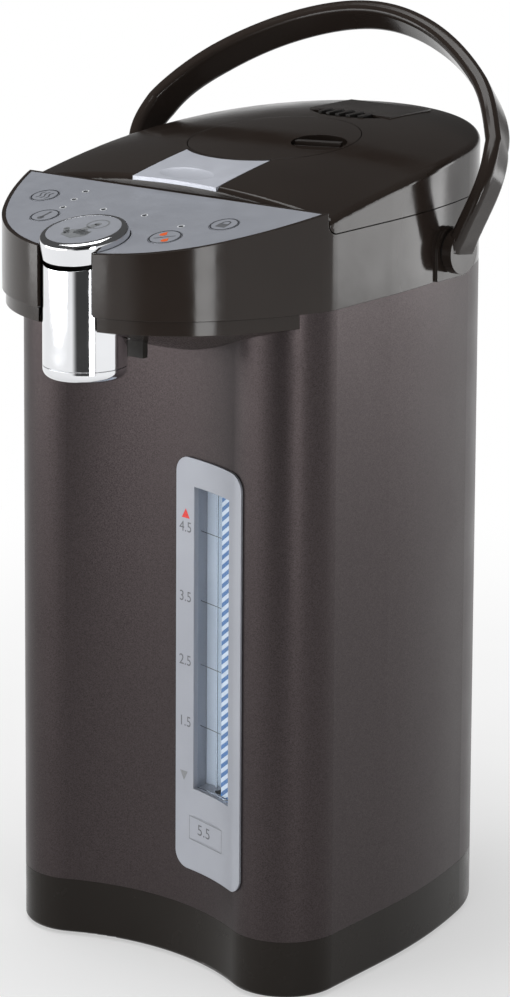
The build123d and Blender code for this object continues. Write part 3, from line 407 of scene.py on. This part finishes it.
def wave(x, y, height, swing, count=12):
    """A steam line, rising away from the user."""
    steps = [i / count for i in range(count + 1)]
    return [(x + swing * sin(2 * pi * step), y + height * (step - 0.5)) for step in steps]


(steam_x, steam_y), _ = key_spots["boil_key"]
steam = []
for shift in (-3.0 * MM, 0.0, 3.0 * MM):
    steam += stroke_faces(wave(steam_x + shift, steam_y, 8 * MM, 0.9 * MM), 0.7 * MM)
graphic("boil_sign", steam, on_panel(key_top), grey_ink, "boil_key")

(warm_x, warm_y), _ = key_spots["warm_key"]
bulb = circle_points(warm_x, warm_y - 3.6 * MM, 1.9 * MM, 1.9 * MM)
stem = stroke_faces([(warm_x, warm_y - 3.0 * MM), (warm_x, warm_y + 5.0 * MM)], 1.5 * MM)
graphic("warm_sign", [bulb] + stem, on_panel(key_top), grey_ink, "warm_key")

(lock_x, lock_y), _ = key_spots["lock_key"]
lock_body = [
    (lock_x - 3.2 * MM, lock_y - 4.2 * MM), (lock_x + 3.2 * MM, lock_y - 4.2 * MM),
    (lock_x + 3.2 * MM, lock_y + 0.6 * MM), (lock_x - 3.2 * MM, lock_y + 0.6 * MM),
]
bow_half = 2.2 * MM
bow_rise = 2.6 * MM
bow_foot = lock_y + 0.4 * MM
bow_start = lock_y + 1.6 * MM
half_turn = [pi * i / 10 for i in range(11)]
bow = [(lock_x + bow_half * cos(angle), bow_start + bow_rise * sin(angle)) for angle in half_turn]
bow = [(lock_x + bow_half, bow_foot)] + bow + [(lock_x - bow_half, bow_foot)]
lock = [lock_body] + stroke_faces(bow, 0.8 * MM)
graphic("lock_sign", lock, on_panel(key_top), grey_ink, "lock_key")

lamp_radius = 1.4 * MM
lamp_rim_radius = 2.0 * MM
lamp_spots = [
    (-48.5, -24.4), (-46.4, -36.3), (-44.1, -48.0), (-19.8, -42.9), (8.6, -42.6), (38.8, -48.9),
]
lamps = []
lamp_rims = []
for across, along in lamp_spots:
    x, y = panel_spot(across * MM, along * MM)
    lamps.append(circle_points(x, y, lamp_radius, lamp_radius))
    lamp_rims += ring_faces(x, y, lamp_rim_radius, lamp_rim_radius, lamp_rim_radius - lamp_radius)
graphic("lamps", lamps, on_panel(print_height), dark_ink, "pot_body")
graphic("lamp_rims", lamp_rims, on_panel(print_height), white_ink, "pot_body")


# ---- cap: a finger pressing a button -------------------------------------------------------------
def cap_sign():
    """A hand seen from above with its first finger on a round button."""
    faces = ring_faces(3.0 * MM, 8.5 * MM, 6.4 * MM, 6.4 * MM, 1.0 * MM)
    faces += stroke_faces([(3.0 * MM, 8.5 * MM), (-1.2 * MM, -4.5 * MM)], 4.0 * MM)
    palm = [(-7.5, -10.0), (1.5, -13.0), (7.5, -8.0), (7.0, -2.5), (-2.5, -0.5), (-8.5, -4.0)]
    faces.append([(x * MM, y * MM) for x, y in palm])
    faces += stroke_faces([(2.2 * MM, -1.5 * MM), (1.4 * MM, -5.0 * MM)], 3.6 * MM)
    faces += stroke_faces([(5.6 * MM, -2.6 * MM), (4.8 * MM, -6.0 * MM)], 3.4 * MM)
    faces += stroke_faces([(-10.0 * MM, -2.0 * MM), (-6.0 * MM, -7.0 * MM)], 3.4 * MM)
    return faces


cap_proud = 5.5 * MM
cap_top = cap_proud + print_height
graphic("cap_sign", cap_sign(), on_panel(cap_top), icon_ink, "spout_button")


# ---- gauge: marks, figures, arrows ---------------------------------------------------------------
def triangle(x, base, tip, half):
    """A triangle on a level base, its tip above or below it."""
    return [[(x - half, base), (x + half, base), (x, tip)]]


mark_heights = {"4.5": 247.3, "3.5": 208.4, "2.5": 172.6, "1.5": 138.1}
figure_x = 16.8 * MM
figure_size = 8.2 * MM
figure_squeeze = 0.97
figures = []
for text, height in mark_heights.items():
    figures += text_faces(text, figure_size, figure_x, height * MM, figure_squeeze)
figures += text_faces("5.5", 8.6 * MM, 32.6 * MM, 79.0 * MM, 1.1)
graphic("gauge_figures", figures, on_gauge(print_height), grey_ink, "pot_body")

box_left, box_right = 20.5 * MM, 49.0 * MM
box_bottom, box_top = 72.5 * MM, 85.5 * MM
corners = [(box_left, box_bottom), (box_right, box_bottom), (box_right, box_top), (box_left, box_top)]
frame_line = stroke_faces(corners + corners[:1], 0.35 * MM)
graphic("gauge_box", frame_line, on_gauge(print_height), icon_ink, "pot_body")
top_arrow = triangle(16.9 * MM, 252.5 * MM, 257.9 * MM, 3.1 * MM)
graphic("top_arrow", top_arrow, on_gauge(print_height), red_ink, "pot_body")
low_arrow = triangle(16.0 * MM, 110.0 * MM, 104.5 * MM, 3.0 * MM)
graphic("low_arrow", low_arrow, on_gauge(print_height), icon_ink, "pot_body")


# ---- striped card and level lines behind the window ----------------------------------------------
def behind_window(depth):
    """Places a point x, z on a curve some way behind the casing's hollow front."""
    radius = front_radius + depth
    return lambda x, z: Vector((x, front_middle + sqrt(radius ** 2 - x ** 2), z))


card_right = window_high[0] - 4.4 * MM
card_strip = 1.9 * MM
card_low = window_low[2] + 0.5 * MM
card_high = window_high[2] - 0.5 * MM
card_strips = []
for strip in range(4):
    right = card_right - strip * card_strip
    left = right - card_strip
    card_strips.append([(left, card_low), (right, card_low), (right, card_high), (left, card_high)])
graphic("striped_card", card_strips, behind_window(3.2 * MM), stripes, "pot_body")

line_left = window_low[0] + 2.0 * MM
line_right = card_right - 4 * card_strip
line_drop = 1.1                       # lines stand lower than the figures' middles, in millimetres
level_lines = []
for height in mark_heights.values():
    z = (height - line_drop) * MM
    level_lines += stroke_faces([(line_left, z), (line_right, z)], 0.4 * MM)
graphic("level_lines", level_lines, behind_window(2.7 * MM), dark_ink, "pot_body")


# ======== floor, lights and camera ================================================================
def light_path(shader_tree, *kinds):
    """1 for rays of the named kinds, and 0 for the others."""
    path = shader_tree.nodes.new("ShaderNodeLightPath")
    total = path.outputs[kinds[0]]
    for kind in kinds[1:]:
        join = shader_tree.nodes.new("ShaderNodeMath")
        join.operation = "MAXIMUM"
        shader_tree.links.new(total, join.inputs[0])
        shader_tree.links.new(path.outputs[kind], join.inputs[1])
        total = join.outputs["Value"]
    return total


def fade(shader_tree, value, start, end, first, last):
    """A smooth change of level while the value goes from start to end."""
    spread = shader_tree.nodes.new("ShaderNodeMapRange")
    spread.interpolation_type = "SMOOTHSTEP"
    for socket, number in zip(("From Min", "From Max", "To Min", "To Max"), (start, end, first, last)):
        spread.inputs[socket].default_value = number
    shader_tree.links.new(value, spread.inputs["Value"])
    return spread.outputs["Result"]


def product(shader_tree, first, second):
    """Two values multiplied."""
    times = shader_tree.nodes.new("ShaderNodeMath")
    times.operation = "MULTIPLY"
    shader_tree.links.new(first, times.inputs[0])
    shader_tree.links.new(second, times.inputs[1])
    return times.outputs["Value"]


floor_radius = 1.25
shadow_start = 0.15                   # shadow shows fully up to here from the pot's middle
shadow_end = 0.9                      # and is gone from here on
shadow_white = 0.45                   # share of plain white where it shows fully


def white_floor():
    """Pale floor that keeps the shadow near the pot and goes white farther off."""
    shader = Shader("Floor", (0.86, 0.86, 0.86), 0.6)
    shader.tint(shader.noise(3, 3), (0.84, 0.84, 0.84), (0.88, 0.88, 0.88))
    shader.vary("Roughness", shader.noise(30, 3), 0.55, 0.7)
    shader.bsdf.inputs["Specular IOR Level"].default_value = 0.1
    tree = shader.tree
    reach = shader.node("ShaderNodeVectorMath", operation="LENGTH")
    shader.link(shader.space, reach.inputs[0])
    share = fade(tree, reach.outputs["Value"], shadow_start, shadow_end, shadow_white, 1.0)
    glow = shader.node("ShaderNodeEmission")
    glow.inputs["Color"].default_value = (1, 1, 1, 1)
    mix = shader.node("ShaderNodeMixShader")
    seen = light_path(tree, "Is Camera Ray", "Is Glossy Ray", "Is Transmission Ray")
    shader.link(product(tree, share, seen), mix.inputs["Fac"])
    shader.link(shader.bsdf.outputs["BSDF"], mix.inputs[1])
    shader.link(glow.outputs["Emission"], mix.inputs[2])
    shader.link(mix.outputs["Shader"], tree.nodes["Material Output"].inputs["Surface"])
    return shader.material


def flat_sheet(name, corners, material):
    """A flat face through the corners, as part of the stage."""
    mesh = bpy.data.meshes.new(name)
    mesh.from_pydata(corners, [], [list(range(len(corners)))])
    mesh.materials.append(material)
    sheet = bpy.data.objects.new(name, mesh)
    bpy.context.scene.collection.objects.link(sheet)
    return sheet


floor_edge = circle_points(0, 0, floor_radius, floor_radius, 96)
flat_sheet("floor", [(x, y, 0) for x, y in floor_edge], white_floor())


even_level = 0.35                     # plain light from all round
ceiling_level = 0.08                  # what reflections show above
front_level = 0.05                    # and what they show towards the camera
horizon_low, horizon_high = -0.02, 0.12
front_start, front_end = 0.80, 0.93


def studio_world(towards):
    """White background and low, even light; in reflections white low down and dim above and in front."""
    made = bpy.data.worlds.new("Studio")
    made.use_nodes = True
    tree = made.node_tree
    direction = tree.nodes.new("ShaderNodeTexCoord").outputs["Generated"]
    split = tree.nodes.new("ShaderNodeSeparateXYZ")
    tree.links.new(direction, split.inputs["Vector"])
    above = fade(tree, split.outputs["Z"], horizon_low, horizon_high, 1.0, ceiling_level)
    facing = tree.nodes.new("ShaderNodeVectorMath")
    facing.operation = "DOT_PRODUCT"
    facing.inputs[1].default_value = towards
    tree.links.new(direction, facing.inputs[0])
    ahead = fade(tree, facing.outputs["Value"], front_start, front_end, 1.0, front_level)
    mirrored = product(tree, above, ahead)
    level = tree.nodes.new("ShaderNodeMix")
    level.inputs["A"].default_value = even_level
    tree.links.new(light_path(tree, "Is Glossy Ray"), level.inputs["Factor"])
    tree.links.new(mirrored, level.inputs["B"])
    seen = tree.nodes.new("ShaderNodeMix")
    seen.inputs["B"].default_value = 1.0
    tree.links.new(light_path(tree, "Is Camera Ray", "Is Transmission Ray"), seen.inputs["Factor"])
    tree.links.new(level.outputs["Result"], seen.inputs["A"])
    background = tree.nodes["Background"]
    background.inputs["Color"].default_value = (1, 1, 1, 1)
    tree.links.new(seen.outputs["Result"], background.inputs["Strength"])
    return made


azimuth = radians(38.204)
bpy.context.scene.world = studio_world((sin(azimuth), -cos(azimuth), 0))


def softbox(name, place, target, width, height, power):
    """A rectangular lamp that faces its target."""
    light = bpy.data.lights.new(name, "AREA")
    light.shape = "RECTANGLE"
    light.size = width
    light.size_y = height
    light.energy = power
    lamp = bpy.data.objects.new(name, light)
    lamp.location = place
    lamp.rotation_euler = (Vector(target) - Vector(place)).to_track_quat("-Z", "Y").to_euler()
    bpy.context.scene.collection.objects.link(lamp)
    return lamp


middle = (0, 0, 0.25)
softbox("LeftBox", (-0.98, -1.26, 0.31), middle, 2.0, 0.55, 15)
softbox("RightBox", (0.98, 1.26, 0.31), middle, 1.0, 0.55, 6.5)
softbox("FrontBox", (1.08, -0.78, 0.28), middle, 0.28, 0.5, 4)
softbox("TopBox", (-0.2, -0.2, 1.9), middle, 1.2, 1.2, 19)

# The camera stands to the right of the front, a little above the lid.
elevation = radians(8.549)
roll = radians(0.328)
focal_pixels = 3545.8
image_width = 510
image_height = 997
principal_row = 92.12
principal_column = 255.04
camera_side = 1.19728
camera_ahead = 1.45887                # from the corner line
camera_height = 0.7656
camera_data = bpy.data.cameras.new("Camera")
camera_data.sensor_width = 36
camera_data.lens = focal_pixels / image_height * camera_data.sensor_width
camera_data.shift_x = (image_width / 2 - principal_column) / image_height
camera_data.shift_y = (principal_row - image_height / 2) / image_height
camera = bpy.data.objects.new("Camera", camera_data)
aside = Matrix.Rotation(azimuth, 3, "Z")
down = Matrix.Rotation(pi / 2 - elevation, 3, "X")
tilt = Matrix.Rotation(roll, 3, "Z")
camera.rotation_euler = (aside @ down @ tilt).to_euler()
camera.location = (camera_side, corner_line - camera_ahead, camera_height)
bpy.context.scene.collection.objects.link(camera)
bpy.context.scene.camera = camera
bpy.context.scene.view_settings.view_transform = "Standard"
